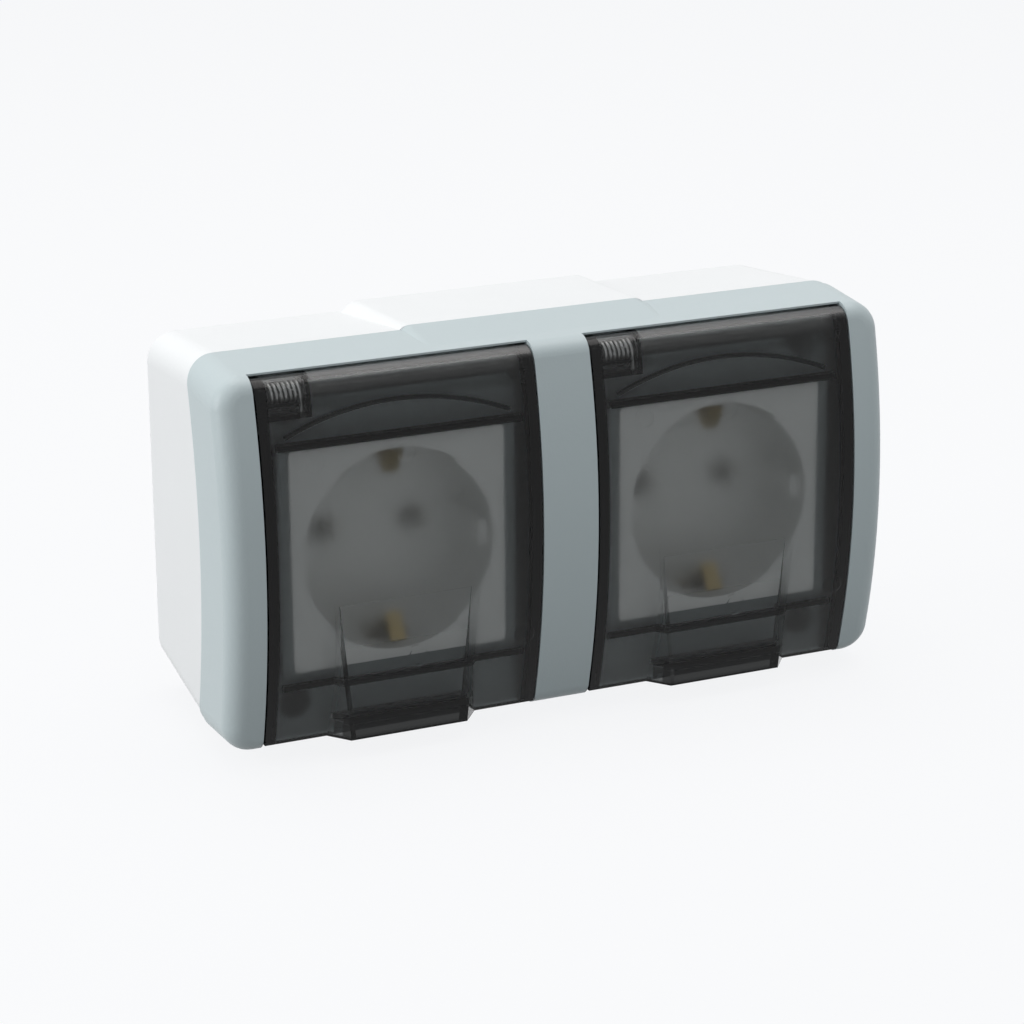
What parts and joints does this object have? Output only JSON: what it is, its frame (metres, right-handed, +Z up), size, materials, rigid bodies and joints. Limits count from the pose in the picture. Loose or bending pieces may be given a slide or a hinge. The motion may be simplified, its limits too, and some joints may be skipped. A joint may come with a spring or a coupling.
{
  "type": "double socket outlet",
  "caption": "Surface-mounted double mains socket outlet with a curved front frame, a white wall box and smoked self-closing hinged lids over round earthed wells.",
  "frame": {"origin": "centre of the flat back face that lies on the wall", "axes": "+X to the right seen from the front, +Y into the wall, +Z up"},
  "size_m": [0.144, 0.054, 0.08],
  "materials": {
    "white_plastic": "satin",
    "grey_plastic": "satin",
    "smoked_plastic": "smoked translucent gloss",
    "socket_plastic": "satin",
    "block_plastic": "matt",
    "brass": "rolled",
    "steel": "zinc plated",
    "black_rubber": "matt"
  },
  "bodies": {
    "housing": {"base_box": "white_plastic", "front_frame": "grey_plastic", "cable_grommet": "black_rubber", "frame_screws": "steel", "module_screws": "steel", "left_hinge_pin": "steel", "left_lid_spring": "steel", "left_socket_cup": "socket_plastic", "left_contact_block": "block_plastic", "left_line_contact": "brass", "left_neutral_contact": "brass", "left_earth_strap": "brass", "left_terminal_screws": "steel", "right_hinge_pin": "steel", "right_lid_spring": "steel", "right_socket_cup": "socket_plastic", "right_contact_block": "block_plastic", "right_line_contact": "brass", "right_neutral_contact": "brass", "right_earth_strap": "brass", "right_terminal_screws": "steel"},
    "left_lid": {"left_lid": "smoked_plastic"},
    "right_lid": {"right_lid": "smoked_plastic"}
  },
  "joints": [
    {"name": "left_lid_hinge", "type": "hinge", "parent": "housing", "child": "left_lid", "pos_m": [-0.03515, -0.04589, 0.0332], "axis": [-1, 0, 0], "range_deg": [0, 90], "stiffness_Nm_per_rad": 0.02, "springref_deg": -57.3, "deforming": ["left_lid_spring"]},
    {"name": "right_lid_hinge", "type": "hinge", "parent": "housing", "child": "right_lid", "pos_m": [0.03515, -0.04589, 0.0332], "axis": [-1, 0, 0], "range_deg": [0, 90], "stiffness_Nm_per_rad": 0.02, "springref_deg": -57.3, "deforming": ["right_lid_spring"]}
  ]
}
